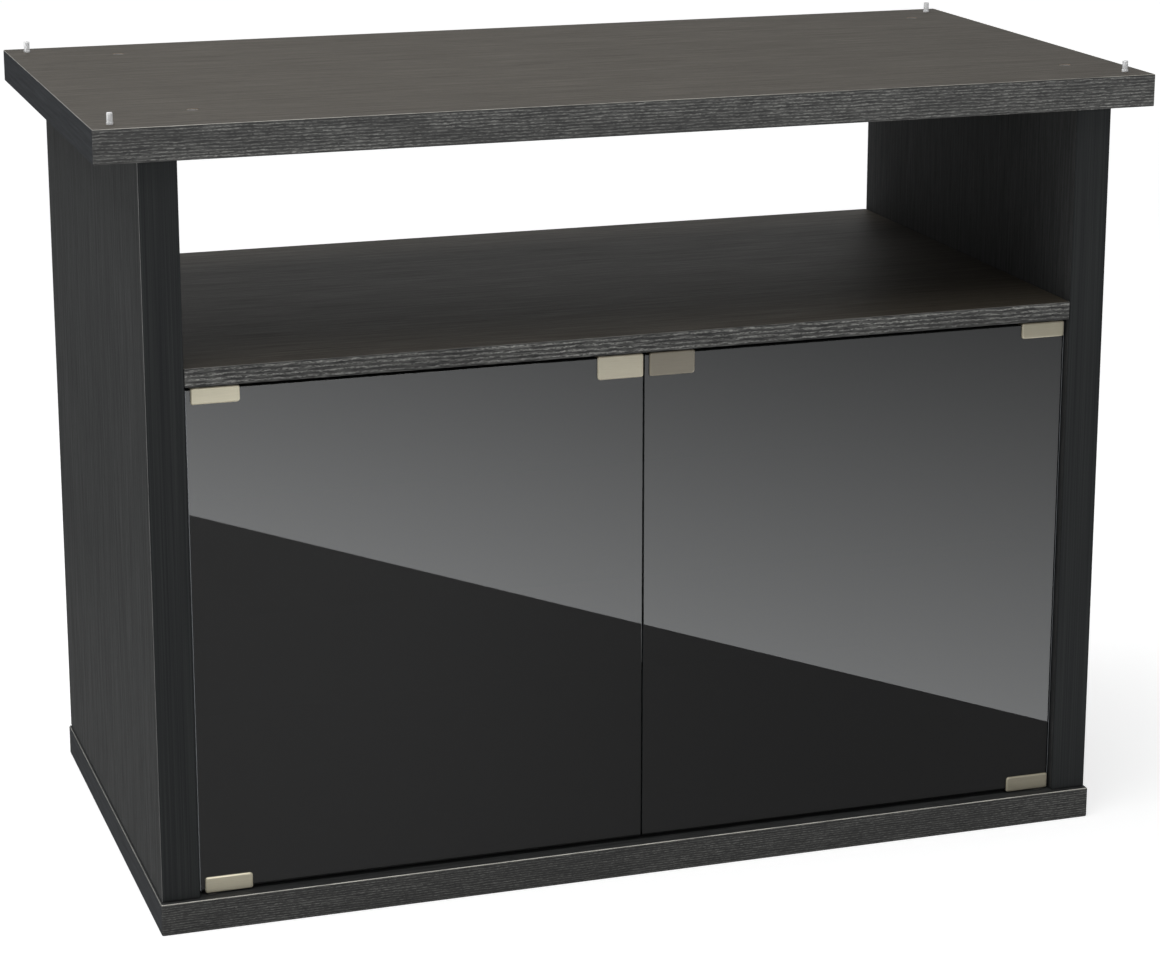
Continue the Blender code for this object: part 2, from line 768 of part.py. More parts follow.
def door(side, sign):
    pieces = [door_glass(side, sign)]
    for end, outward in ENDS:
        pieces += hinge_clip(side, sign, end, outward)
    pieces += catch_clip(side, sign)
    on_axis("door_" + side + "_axis", (sign * PIVOT_X, PIVOT_Y, GLASS_LOW), pieces)


def latch(side, sign):
    point = (latch_x(sign), MAGNET_FRONT, PLUNGER_Z)
    on_axis("latch_" + side + "_axis", point, push_latch(side, sign))


def build():
    clear_scene()
    base_board()
    top_board()
    niche_shelf()
    back_panel()
    inner_shelf()
    shelf_pegs()
    locating_pins()
    cover_caps()
    base_screws()
    for side, sign in SIDES:
        side_panel(side, sign)
        front_strip(side, sign)
        for end, into in ENDS:
            pivot_bush(side, sign, end, into)
        door(side, sign)
        latch(side, sign)


build()
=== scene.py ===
"""Looks of the aquarium stand cabinet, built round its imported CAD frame.

Metres, in the frame's own axes: +X to the right seen from the front, +Y to the
back and +Z up, with the floor at zero. Every shown piece stands for one CAD
node and takes its place and size from that node's box.
"""

import json
import math

import bmesh
import bpy
from mathutils import Matrix, Vector


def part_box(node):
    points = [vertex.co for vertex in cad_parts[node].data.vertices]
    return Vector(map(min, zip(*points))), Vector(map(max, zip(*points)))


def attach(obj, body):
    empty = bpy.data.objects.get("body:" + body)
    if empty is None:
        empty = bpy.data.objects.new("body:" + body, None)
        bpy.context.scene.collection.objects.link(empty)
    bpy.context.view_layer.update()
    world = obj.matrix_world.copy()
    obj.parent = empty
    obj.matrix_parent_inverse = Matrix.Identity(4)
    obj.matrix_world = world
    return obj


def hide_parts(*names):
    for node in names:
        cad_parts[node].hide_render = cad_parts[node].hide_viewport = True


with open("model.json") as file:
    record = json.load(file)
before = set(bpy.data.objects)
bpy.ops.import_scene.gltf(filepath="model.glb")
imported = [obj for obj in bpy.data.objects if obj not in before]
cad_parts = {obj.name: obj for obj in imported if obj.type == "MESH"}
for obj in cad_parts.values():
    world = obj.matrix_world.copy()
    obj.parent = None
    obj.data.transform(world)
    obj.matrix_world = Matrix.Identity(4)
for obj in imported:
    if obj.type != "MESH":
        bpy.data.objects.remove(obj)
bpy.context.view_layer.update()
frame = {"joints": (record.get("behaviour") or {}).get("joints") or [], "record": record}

# Edges, clearances and facets of the modelled pieces.
GAP = 0.0003
SAME_POINT = 0.000002
BOARD_ARRIS = 0.0009
BASE_ARRIS = 0.0015
STRIP_ARRIS = 0.0012
GLASS_ARRIS = 0.0005
CLIP_CHAMFER = 0.0009
CLIP_SOFTNESS = 0.0003
CLIP_CORNER = 0.0018
CLIP_FREE_CORNER = 0.0026
CLIP_BRIDGE = 0.0015
PAD_ARRIS = 0.0002
HOUSING_ARRIS = 0.0015
SOFT_EDGE = 0.00035
FINE_EDGE = 0.0002
PLUNGER_EDGE = 2 * SOFT_EDGE
ARRIS_STEPS = 3
CORNER_STEPS = 8
TURNED_STEPS = 48
OUTLET_STEPS = 96
HEXAGON = 6
ROUND_PROFILE = 0.5
QUARTER_TURN = math.pi / 2
SMOOTH_BELOW = math.radians(38)

# How much of a face's normal lies along an axis, where its finish changes.
FLAT = 0.94
SLANTED = 0.3
SLIGHTLY_SLANTED = 0.2
ALMOST_FLAT = 0.97
ALMOST_FACING = 0.98

# Holes, screws, pins and caps, where a box alone doesn't give their size.
PIN_RADIUS = 0.0025
PIN_COLLAR_HEIGHT = 0.0018
PIN_PROUD = 0.0095
CAP_THICK = 0.0012
CAP_STEM_RADIUS = 0.0035
CAP_DISH_RADIUS = 0.0031
CAP_DISH_DEPTH = 0.0005
BUSH_RADIUS = 0.005
BUSH_FLANGE = 0.0006
BUSH_BORE_RADIUS = 0.0031
BUSH_BORE_DEPTH = 0.008
PIVOT_RADIUS = 0.003
SCREW_HOLE_EXTRA = 0.0004
BASE_SCREW_HEAD = 0.004
BASE_SCREW_SHANK = 0.003
BASE_SCREW_RECESS = 0.001
LATCH_SCREW_HEAD = 0.0022
LATCH_SCREW_SHANK = 0.0017
LATCH_SCREW_SINK = 0.0008
PLUNGER_CLEARANCE = 0.0002
PLUNGER_BORE = 0.038
SOCKET_SHARE = 0.55
SOCKET_DEPTH = 0.0013
THREAD_PITCH = 0.0006
THREAD_DEPTH = 0.00022
OUTLET_RADIUS = 0.030
PEG_HOLE_RADIUS = 0.0025
PEG_HOLE_DEPTH = 0.010
PEG_HOLE_PITCH = 0.032
PEG_HOLES_EACH_WAY = 3

# How many times its end's rounding a pin's or a peg's radius is.
ROUNDING_PARTS = 3

# Camera: a long lens at the photograph's angle, with a small shift.
LENS = 99.4
SENSOR = 36.0
SHIFT_UP = -0.08
EYE = Vector((-0.872, -2.676, 1.092))
TURN = math.radians(18.32)
TILT = math.radians(14.31)

# Where the dark part of the doors' reflection ends, as X and Z on the glass.
SHADE_LEFT = (-0.389, 0.357)
SHADE_RIGHT = (0.390, 0.0895)

# Studio: the floor glows more from near to far, so that it meets the surround. Only
# reflections see the cards: bright and dark ones on the floor, and one behind.
FLOOR_HALF = 30.0
HALF_METRE = 0.5
FLOOR_NEAR = 1.2
FLOOR_FAR = 4.5
FLOOR_NEAR_GLOW = 0.70
FLOOR_FAR_GLOW = 0.93
SURROUND_LIGHT = 0.12
SURROUND_SEEN = 0.97
CARD_HEIGHT = 0.002
GLOW_CARD = (14.0, 7.0)
GLOW_BRIGHT = 2.25
GLOW_FADE = 1.13
SHADE_CARD = (3.0, 1.6)
SHADE_BRIGHT = 0.18
BACK_CARD = (14.0, 3.5)
BACK_CARD_FOOT = Vector((0, 5, 1.2))
BACK_BRIGHT = 0.7

# Soft lights: name, place, what it faces, width, height and watts.
SOFT_LIGHTS = (
    ("overhead", Vector((-0.6, -0.1, 2.7)), Vector((-0.1, 0.0, 0.3)), 3.0, 2.4, 83.0),
    ("front", Vector((0.2, -3.9, 1.7)), Vector((0.0, 0.0, 0.35)), 1.8, 1.4, 32.0),
    ("left", Vector((-3.0, -0.1, 0.42)), Vector((-0.4, -0.1, 0.2)), 1.0, 0.8, 23.0),
)

# Noise: its roughness, and the range that most of its values lie in.
NOISE_ROUGHNESS = 0.6
NOISE_LOW = 0.3
NOISE_HIGH = 0.7

# Foil: how much of its dark tone is left in a pore, and its relief.
PORE_DARKNESS = 0.45
PIT_DEPTH = -0.7
FIBRE_RELIEF = 0.6

# Edge bands: the wave texture's own period, how far apart its bends are, how strong the
# fine hairs are, how far the dark falls below the mean tone, and the light rises above
# it in each channel. Then line spacing, mean tone and contrast for each band.
WAVE_UNIT = 0.314
BEND_PITCH = 0.0100
HAIR_SHARE = 0.42
BAND_DARKENING = 0.62
BAND_LIGHTENING = (5.9, 5.9, 5.5)
TOP_BAND = (0.0026, 0.057, 0.50)
SHELF_BAND = (0.0037, 0.052, 0.72)
BASE_BAND = (0.0021, 0.039, 0.42)

# Where each board's grain starts in the noise, so that no two boards are alike.
TOP_GRAIN = 0.0
BASE_GRAIN = 4.0
SIDE_GRAIN = 8.0
SIDE_EDGE_GRAIN = 12.0
SHELF_GRAIN = 16.0
BACK_GRAIN = 20.0
INNER_SHELF_GRAIN = 24.0
END_GRAIN = 30.0

# Tones, darker and lighter.
WARM = ((0.028, 0.023, 0.016), (0.058, 0.049, 0.037))
COOL = ((0.021, 0.022, 0.022), (0.048, 0.049, 0.049))
END_TONES = ((0.017, 0.019, 0.022), (0.028, 0.031, 0.035))
CHIP_TONES = ((0.20, 0.13, 0.07), (0.42, 0.31, 0.19))
# The arris tones are painted highlights on upper edges, lit and shaded copies of one edge; the dim
# ones are the shaded copy.
TOP_ARRIS_TONES = ((0.15, 0.145, 0.13), (0.33, 0.32, 0.285))
BASE_ARRIS_TONES = ((0.24, 0.23, 0.21), (0.58, 0.56, 0.50))
SIDE_ARRIS_TONES = ((0.11, 0.108, 0.098), (0.24, 0.235, 0.215))
DIM_ARRIS_TONES = ((0.050, 0.049, 0.046), (0.125, 0.122, 0.112))
STRIP_ARRIS_TONES = ((0.060, 0.062, 0.061), (0.110, 0.112, 0.110))
STRIP_TONES = ((0.017, 0.018, 0.019), (0.026, 0.028, 0.028))
GLASS_TONES = ((0.014, 0.015, 0.016), (0.019, 0.020, 0.021))
# Glass rims: paler than the pane, partly the ground edge's own tone and partly a painted
# highlight, the bright one more so.
RIM_TONES = ((0.022, 0.026, 0.027), (0.045, 0.050, 0.052))
BRIGHT_RIM_TONES = ((0.26, 0.275, 0.29), (0.36, 0.38, 0.40))
CLEAR_TONES = ((0.82, 0.83, 0.84), (0.95, 0.95, 0.95))
DARK_PLASTIC_TONES = ((0.018, 0.018, 0.018), (0.032, 0.031, 0.030))
CAP_TONES = ((0.060, 0.056, 0.050), (0.092, 0.086, 0.078))
RUBBER_TONES = ((0.018, 0.018, 0.018), (0.045, 0.044, 0.043))
FLOOR_TONES = ((0.50, 0.50, 0.50), (0.53, 0.53, 0.53))

# Metal: each side's tone and how much brighter its chamfers are, left then right, then
# the plated steels, and how far each metal strays from its tone. The right side's darker
# tone is painted shade, and the brighter chamfers are painted highlights.
HINGE_TONES = ((0.55, 0.51, 0.39), 1.35, (0.31, 0.284, 0.215), 1.55)
CATCH_TONES = ((0.39, 0.358, 0.278), 1.5, (0.178, 0.160, 0.126), 1.75)
ZINC_TONE = (0.62, 0.62, 0.63)
MAGNET_TONE = (0.70, 0.68, 0.64)
NICKEL_BRIGHT = 1.06
NICKEL_DULL = 0.90
ZINC_DULL = 0.78

# Colours of light.
WHITE = (1.0, 1.0, 1.0, 1.0)
BLACK = (0.0, 0.0, 0.0, 1.0)
DAYLIGHT = (0.96, 0.98, 1.0, 1.0)
PANEL_LIGHT = (0.97, 0.99, 1.0, 1.0)

# Finishes of a board and of a pane, in slot order.
FOIL, BAND, ARRIS, RAW, END, SIDE_ARRIS = range(6)
PANE, RIM, BRIGHT_RIM = range(3)
FIRST_FINISH = 0

X_AXIS = Vector((1, 0, 0))
Y_AXIS = Vector((0, 1, 0))
UP = Vector((0, 0, 1))
SIDES = (("left", -1), ("right", 1))
ENDS = (("top", 1), ("bottom", -1))
CORNERS = ("front_left", "front_right", "back_left", "back_right")

BODY_OF = {}
for body_name, members in frame["record"]["behaviour"]["bodies"].items():
    for member in members:
        BODY_OF[member] = body_name
JOINTS = {joint["name"]: joint for joint in frame["joints"]}
OPENINGS = {space["name"]: space for space in frame["record"]["physics"]["openings"]}


# ---------------------------------------------------------------- materials


class Look:
    """A material and short ways to add nodes to it."""

    def __init__(self, name):
        self.material = bpy.data.materials.new(name)
        self.material.use_nodes = True
        self.tree = self.material.node_tree
        self.shader = self.tree.nodes["Principled BSDF"]

    def fill(self, node, values):
        """Sets a node's inputs by name, linking those that are sockets."""
        for name, value in values.items():
            if isinstance(value, bpy.types.NodeSocket):
                self.tree.links.new(value, node.inputs[name])
            else:
                node.inputs[name].default_value = value

    def add(self, kind, values):
        node = self.tree.nodes.new("ShaderNode" + kind)
        self.fill(node, values)
        return node

    def place(self, scale, offset):
        """Object coordinates, scaled and moved."""
        source = self.add("TexCoord", {}).outputs["Object"]
        values = {"Vector": source, "Scale": scale, "Location": (offset,) * 3}
        return self.add("Mapping", values).outputs["Vector"]

    def noise(self, place, detail, distortion=0.0):
        values = {"Vector": place, "Scale": 1.0, "Detail": detail}
        values.update({"Roughness": NOISE_ROUGHNESS, "Distortion": distortion})
        return self.add("TexNoise", values).outputs["Fac"]

    def streaks(self, along, offset, length, width, detail=4.0, distortion=0.0):
        """Noise drawn out along one axis, with features about that long and wide."""
        scale = [1 / width] * 3
        scale["XYZ".index(along)] = 1 / length
        return self.noise(self.place(scale, offset), detail, distortion)

    def speckle(self, size, offset, detail=3.0):
        """Noise with features of about that size."""
        return self.noise(self.place((1 / size,) * 3, offset), detail)

    def spread(self, value, low=0.0, high=1.0, start=NOISE_LOW, end=NOISE_HIGH):
        """Maps start..end of a value to low..high, and holds it there."""
        values = {"Value": value, "From Min": start, "From Max": end}
        values.update({"To Min": low, "To Max": high})
        return self.add("MapRange", values).outputs["Result"]

    def sums(self, operation, first, second):
        node = self.tree.nodes.new("ShaderNodeMath")
        node.operation = operation
        for socket, value in zip(node.inputs, (first, second)):
            if isinstance(value, bpy.types.NodeSocket):
                self.tree.links.new(value, socket)
            else:
                socket.default_value = value
        return node.outputs["Value"]

    def mix(self, share, first, second):
        """A colour between two colours."""
        node = self.tree.nodes.new("ShaderNodeMixRGB")
        for name, value in (("Fac", share), ("Color1", first), ("Color2", second)):
            if isinstance(value, bpy.types.NodeSocket):
                self.tree.links.new(value, node.inputs[name])
            elif name == "Fac":
                node.inputs[name].default_value = value
            else:
                node.inputs[name].default_value = (*value, 1.0)
        return node.outputs["Color"]

    def bump(self, height, depth, strength):
        values = {"Height": height, "Distance": depth, "Strength": strength}
        self.fill(self.shader, {"Normal": self.add("Bump", values).outputs["Normal"]})

    def done(self, values):
        self.fill(self.shader, values)
        return self.material


def scaled(tone, share):
    return tuple(share * channel for channel in tone)


def board_foil(name, along, offset, dark, light):
    """Wood-grain foil: soft fibres, short dark pores, flecks and a slow drift of tone."""
    look = Look(name)
    fibres = look.streaks(along, offset, length=0.085, width=0.0028, detail=5.0, distortion=0.3)
    pores = look.streaks(along, offset + 7.0, length=0.010, width=0.0011, detail=3.0)
    flecks = look.streaks(along, offset + 11.0, length=0.020, width=0.0042, detail=3.0)
    drift = look.streaks(along, offset + 3.0, length=0.50, width=0.075, detail=3.0, distortion=0.6)
    tone = look.mix(look.spread(fibres, start=0.32, end=0.68), dark, light)
    pore = scaled(dark, PORE_DARKNESS)
    pitted = look.mix(look.spread(pores, high=0.75, start=0.53, end=0.68), tone, pore)
    flecked = look.mix(look.spread(flecks, high=0.50, start=0.46, end=0.64), pitted, dark)
    drifted = look.mix(look.spread(drift, high=0.30), flecked, dark)
    pits = look.sums("MULTIPLY", look.spread(pores, start=0.52), PIT_DEPTH)
    relief = look.sums("ADD", look.sums("MULTIPLY", fibres, FIBRE_RELIEF), pits)
    look.bump(relief, depth=0.00012, strength=0.6)
    rough = look.spread(fibres, low=0.62, high=0.50)
    return look.done({"Base Color": drifted, "Roughness": rough, "Specular IOR Level": 0.24})


def edge_band(name, along, offset, character):
    """Coarse brushed grain: wavy lines a pitch apart, broken up into short flecks."""
    pitch, tone, contrast = character
    look = Look(name)
    scale = [WAVE_UNIT / pitch] * 3
    scale["XYZ".index(along)] = WAVE_UNIT / BEND_PITCH
    wave = look.tree.nodes.new("ShaderNodeTexWave")
    wave.bands_direction = "Z"
    values = {"Vector": look.place(scale, offset), "Scale": 1.0, "Distortion": 4.6}
    values.update({"Detail": 4.0, "Detail Scale": 1.5, "Detail Roughness": 0.7})
    look.fill(wave, values)
    lines = look.spread(wave.outputs["Fac"], start=0.40, end=0.84)
    flecks = look.streaks(along, offset + 5.0, length=0.0034, width=0.0009, distortion=0.6)
    gaps = look.spread(flecks, low=0.12, start=0.40, end=0.62)
    dashes = look.sums("MULTIPLY", lines, gaps)
    hairs = look.streaks(along, offset + 2.0, length=0.014, width=0.0006, detail=3.0)
    haired = look.spread(hairs, high=HAIR_SHARE, start=0.46, end=0.66)
    drift = look.streaks(along, offset + 9.0, length=0.12, width=0.014, detail=3.0, distortion=0.4)
    uneven = look.spread(drift, low=0.40, start=0.34, end=0.66)
    grained = look.sums("MULTIPLY", look.sums("MAXIMUM", dashes, haired), uneven)
    dark = (tone * (1 - BAND_DARKENING * contrast),) * 3
    light = tuple(tone * (1 + contrast * rise) for rise in BAND_LIGHTENING)
    look.bump(grained, depth=0.00022 * contrast, strength=0.7)
    rough = look.spread(grained, low=0.64, high=0.50, start=0.0, end=0.8)
    values = {"Base Color": look.mix(grained, dark, light), "Roughness": rough}
    return look.done({**values, "Specular IOR Level": 0.04})


def painted_arris_highlight(name, along, dark, light):
    """The thin line where foil meets edge band: a painted highlight, paler and a little uneven."""
    look = Look(name)
    uneven = look.streaks(along, offset=2.0, length=0.030, width=0.0040)
    tone = look.mix(look.spread(uneven, end=0.62), dark, light)
    look.bump(uneven, depth=0.00005, strength=0.5)
    rough = look.spread(uneven, low=0.50, high=0.38)
    return look.done({"Base Color": tone, "Roughness": rough})


def chipboard():
    """The raw core that shows inside a hole."""
    look = Look("chipboard")
    flakes = look.speckle(size=0.0016, offset=1.0, detail=5.0)
    grit = look.speckle(size=0.0004, offset=4.0, detail=2.0)
    share = look.spread(flakes, start=0.35, end=0.65)
    tone = look.mix(share, *CHIP_TONES)
    look.bump(look.sums("ADD", flakes, grit), depth=0.0003, strength=0.8)
    return look.done({"Base Color": tone, "Roughness": look.spread(grit, low=0.80, high=0.95)})


def satin_strip(name):
    """Plain near-black edging with a soft sheen and faint lines along its length."""
    look = Look(name)
    lines = look.streaks("Z", offset=1.0, length=0.30, width=0.0014, detail=3.0)
    bloom = look.streaks("Z", offset=6.0, length=0.25, width=0.060, detail=2.0)
    share = look.spread(lines, start=0.35, end=0.65)
    tone = look.mix(share, *STRIP_TONES)
    look.bump(lines, depth=0.00003, strength=0.35)
    rough = look.spread(bloom, low=0.40, high=0.48)
    return look.done({"Base Color": tone, "Roughness": rough, "Specular IOR Level": 0.02})


def smoked_glass():
    """Dark grey glass, polished, with the faintest waviness and a few dust specks."""
    look = Look("smoked_glass")
    waves = look.speckle(size=0.45, offset=2.0, detail=1.0)
    dust = look.speckle(size=0.0022, offset=8.0, detail=2.0)
    look.bump(waves, depth=0.00003, strength=0.2)
    rough = look.spread(dust, low=0.010, high=0.035, start=0.72, end=0.86)
    tint = look.mix(look.spread(waves), *GLASS_TONES)
    values = {"Base Color": tint, "Roughness": rough, "IOR": 1.70}
    values["Transmission Weight"] = 1.0
    return look.done(values)


def glass_edge(name, dark, light):
    """The pane's ground and polished rim, paler than its face: partly the ground edge's own tone,
    partly a painted highlight.
    """
    look = Look(name)
    grinding = look.speckle(size=0.0009, offset=3.0)
    tone = look.mix(look.spread(grinding), dark, light)
    look.bump(grinding, depth=0.00002, strength=0.3)
    rough = look.spread(grinding, low=0.16, high=0.26)
    return look.done({"Base Color": tone, "Roughness": rough, "IOR": 1.55})


def satin_nickel(name, tone):
    """Nickel brushed along X, a little duller in patches."""
    look = Look(name)
    strokes = look.streaks("X", offset=1.0, length=0.018, width=0.00022, detail=3.0)
    patches = look.speckle(size=0.012, offset=5.0)
    dull = scaled(tone, NICKEL_DULL)
    colour = look.mix(look.spread(strokes), dull, scaled(tone, NICKEL_BRIGHT))
    look.bump(strokes, depth=0.00002, strength=0.35)
    stroked = look.spread(strokes, low=-0.03, high=0.03)
    rough = look.sums("ADD", stroked, look.spread(patches, low=0.31, high=0.38))
    return look.done({"Base Color": colour, "Roughness": rough, "Metallic": 0.45})


def nickel_pair(name, tone, lift):
    """The brushed face, and the chamfer made brighter by lift, a painted highlight."""
    return [satin_nickel(name, tone), satin_nickel(name + "_chamfer", scaled(tone, lift))]


def clear_plastic():
    """Milky clear moulding, brightest where light gets into it."""
    look = Look("clear_plastic")
    cloud = look.speckle(size=0.0012, offset=2.0)
    tone = look.mix(look.spread(cloud), *CLEAR_TONES)
    look.bump(cloud, depth=0.00002, strength=0.3)
    values = {"Base Color": tone, "Roughness": look.spread(cloud, low=0.16, high=0.26)}
    values.update({"Transmission Weight": 0.35, "IOR": 1.49})
    return look.done(values)


def moulded_plastic(name, dark, light):
    """Fine spark-eroded texture."""
    look = Look(name)
    texture = look.speckle(size=0.00045, offset=1.0, detail=2.0)
    shade = look.speckle(size=0.010, offset=6.0)
    tone = look.mix(look.spread(shade), dark, light)
    look.bump(texture, depth=0.00004, strength=0.5)
    rough = look.spread(texture, low=0.40, high=0.56)
    return look.done({"Base Color": tone, "Roughness": rough})


def rubber():
    """Soft black sheet with a chalky bloom."""
    look = Look("rubber_pad")
    grit = look.speckle(size=0.0006, offset=3.0)
    share = look.spread(grit, start=0.35)
    tone = look.mix(share, *RUBBER_TONES)
    look.bump(grit, depth=0.00005, strength=0.6)
    return look.done({"Base Color": tone, "Roughness": look.spread(grit, low=0.74, high=0.90)})


def zinc_steel(name, tone, rough_low, rough_high):
    """Plated steel: a faint mottle, with fine turning marks in the gloss."""
    look = Look(name)
    mottle = look.speckle(size=0.0025, offset=1.0, detail=4.0)
    marks = look.speckle(size=0.00025, offset=4.0, detail=2.0)
    colour = look.mix(look.spread(mottle), scaled(tone, ZINC_DULL), tone)
    look.bump(marks, depth=0.000015, strength=0.4)
    rough = look.spread(mottle, low=rough_high, high=rough_low)
    return look.done({"Base Color": colour, "Roughness": rough, "Metallic": 1.0})


def nickel_for(part, left, left_lift, right, right_lift):
    """Each side's nickel, by side, the right side's darker tone being painted shade."""
    return {
        "left": nickel_pair(part + "_nickel_left", left, left_lift),
        "right": nickel_pair(part + "_nickel_right", right, right_lift),
    }


# Painted highlights for the boards' and strips' upper and outer arrises, each as bright as that
# edge is lit.
TOP_ARRIS = painted_arris_highlight("arris_top", "X", *TOP_ARRIS_TONES)
BASE_ARRIS_LOOK = painted_arris_highlight("arris_base", "X", *BASE_ARRIS_TONES)
SIDE_ARRIS_LOOK = painted_arris_highlight("arris_side", "Y", *SIDE_ARRIS_TONES)
DIM_ARRIS = painted_arris_highlight("arris_dim", "X", *DIM_ARRIS_TONES)
STRIP_ARRIS_LOOK = painted_arris_highlight("arris_strip", "Z", *STRIP_ARRIS_TONES)
END_FOIL = board_foil("foil_end", "Y", END_GRAIN, *END_TONES)
CORE = chipboard()
GLASS = smoked_glass()
# The glass rims, the bright one a painted highlight on the outer upright edge.
GLASS_RIM = glass_edge("glass_rim", *RIM_TONES)
GLASS_BRIGHT_RIM = glass_edge("glass_bright_rim", *BRIGHT_RIM_TONES)
# Lit and shaded copies of one nickel: the right side's is painted shade, each chamfer a painted
# highlight.
HINGE_NICKEL = nickel_for("hinge", *HINGE_TONES)
CATCH_NICKEL = nickel_for("catch", *CATCH_TONES)
MILKY = clear_plastic()
DARK_PLASTIC = moulded_plastic("dark_plastic", *DARK_PLASTIC_TONES)
CAP_PLASTIC = moulded_plastic("cap_plastic", *CAP_TONES)
RUBBER = rubber()
ZINC = zinc_steel("zinc_steel", ZINC_TONE, rough_low=0.28, rough_high=0.42)
MAGNET_STEEL = zinc_steel("magnet_nickel", MAGNET_TONE, rough_low=0.12, rough_high=0.22)


# ----------------------------------------------------------------- modelling


def new_object(shape, name, finishes):
    bmesh.ops.recalc_face_normals(shape, faces=shape.faces)
    mesh = bpy.data.meshes.new(name)
    shape.to_mesh(mesh)
    shape.free()
    for finish in finishes:
        mesh.materials.append(finish)
    made = bpy.data.objects.new(name, mesh)
    bpy.context.scene.collection.objects.link(made)
    return made


def stand_for(piece, node):
    """Shades a piece, and shows it in place of a CAD node, moving with its body."""
    piece.data.shade_smooth()
    piece.data.set_sharp_from_angle(angle=SMOOTH_BELOW)
    flats = piece.modifiers.new("flats", "WEIGHTED_NORMAL")
    flats.keep_sharp = True
    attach(piece, BODY_OF[node])
    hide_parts(node)


def combine(piece, shape, operation):
    """Cuts a shape from a piece, or joins it on, and keeps the result."""
    tool = new_object(shape, "tool", piece.data.materials)
    modifier = piece.modifiers.new("combine", "BOOLEAN")
    modifier.operation = operation
    modifier.solver = "EXACT"
    modifier.object = tool
    graph = bpy.context.evaluated_depsgraph_get()
    mesh = bpy.data.meshes.new_from_object(piece.evaluated_get(graph), depsgraph=graph)
    piece.modifiers.remove(modifier)
    cleaned = bmesh.new()
    cleaned.from_mesh(mesh)
    bmesh.ops.remove_doubles(cleaned, verts=cleaned.verts, dist=SAME_POINT)
    cleaned.to_mesh(mesh)
    cleaned.free()
    piece.data = mesh
    bpy.data.objects.remove(tool)


def middle(node):
    low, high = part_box(node)
    return (low + high) / 2


def box_shape(low, high, arris, finish_for=None):
    """A block with rounded edges. finish_for gives a face's finish from its normal."""
    shape = bmesh.new()
    size = Matrix.Diagonal((*(high - low), 1.0))
    bmesh.ops.create_cube(shape, matrix=Matrix.Translation((low + high) / 2) @ size)
    bmesh.ops.bevel(
        shape,
        geom=list(shape.edges),
        offset=arris,
        segments=ARRIS_STEPS,
        profile=ROUND_PROFILE,
        affect="EDGES",
    )
    shape.normal_update()
    if finish_for:
        for face in shape.faces:
            face.material_index = finish_for(face.normal)
    return shape


def flat_board_finish(normal):
    """Foil above and below, band in front and behind, and pale upper arrises, a painted highlight
    where light from above falls on them.
    """
    if abs(normal.z) > FLAT:
        return FOIL
    if normal.z > SLANTED:
        return SIDE_ARRIS if abs(normal.x) > abs(normal.y) else ARRIS
    return END if abs(normal.x) > abs(normal.y) else BAND


def side_board_finish(normal):
    return FOIL if abs(normal.x) > SLANTED else BAND


def back_board_finish(normal):
    return FOIL if abs(normal.y) > SLANTED else BAND


def add_drill(shape, start, axis, radius, depth, finish=FIRST_FINISH, steps=TURNED_STEPS):
    """A cylinder to cut with, from a little outside start and depth along axis."""
    turn = UP.rotation_difference(axis).to_matrix().to_4x4()
    length = depth + GAP
    centre = start + axis * (length / 2 - GAP)
    made = bmesh.ops.create_cone(
        shape,
        cap_ends=True,
        segments=steps,
        radius1=radius,
        radius2=radius,
        depth=length,
        matrix=Matrix.Translation(centre) @ turn,
    )
    for corner in made["verts"]:
        for face in corner.link_faces:
            face.material_index = finish


def soften(profile, radius):
    """Rounds each corner of a profile, by up to radius."""
    points = [Vector(point) for point in profile]
    softened = [points[0]]
    for before, corner, after in zip(points, points[1:], points[2:]):
        reach_in = min(radius, (before - corner).length / 2)
        reach_out = min(radius, (after - corner).length / 2)
        start = corner + (before - corner).normalized() * reach_in
        end = corner + (after - corner).normalized() * reach_out
        for step in range(ARRIS_STEPS + 1):
            share = step / ARRIS_STEPS
            point = start.lerp(corner, share).lerp(corner.lerp(end, share), share)
            if (point - softened[-1]).length > SAME_POINT:
                softened.append(point)
    softened.append(points[-1])
    return softened


def lathe_shape(profile, origin, axis):
    """Turns (radius, height) points round axis. The first and last are on the axis."""
    shape = bmesh.new()
    turn = UP.rotation_difference(axis).to_matrix()
    rings = []
    for radius, height in profile:
        ring = []
        for step in range(TURNED_STEPS if radius > 0 else 1):
            angle = 2 * math.pi * step / TURNED_STEPS
            point = Vector((radius * math.cos(angle), radius * math.sin(angle), height))
            ring.append(shape.verts.new(turn @ point + origin))
        rings.append(ring)
    for lower, upper in zip(rings, rings[1:]):
        for step in range(TURNED_STEPS):
            following = (step + 1) % TURNED_STEPS
            corners = [lower[step % len(lower)]]
            if len(lower) > 1:
                corners.append(lower[following])
            if len(upper) > 1:
                corners.append(upper[following])
            corners.append(upper[step % len(upper)])
            shape.faces.new(corners)
    return shape


def turned_piece(node, finish, profile, origin, axis, edge=SOFT_EDGE):
    shape = lathe_shape(soften(profile, edge), origin, axis)
    stand_for(new_object(shape, node + "_piece", [finish]), node)


def threaded(radius, start, end):
    """Profile points of a screw thread's ridges, drawn as rings."""
    count = int((end - start) / THREAD_PITCH)
    points = []
    for turn in range(count):
        height = start + turn * THREAD_PITCH
        points.append((radius - THREAD_DEPTH, height))
        points.append((radius, height + THREAD_PITCH / 2))
    return points


def cut_socket(screw, mouth, inward, radius):
    """A hexagon socket."""
    shape = bmesh.new()
    add_drill(shape, mouth, inward, radius, SOCKET_DEPTH, steps=HEXAGON)
    combine(screw, shape, "DIFFERENCE")


# -------------------------------------------------------------------- boards


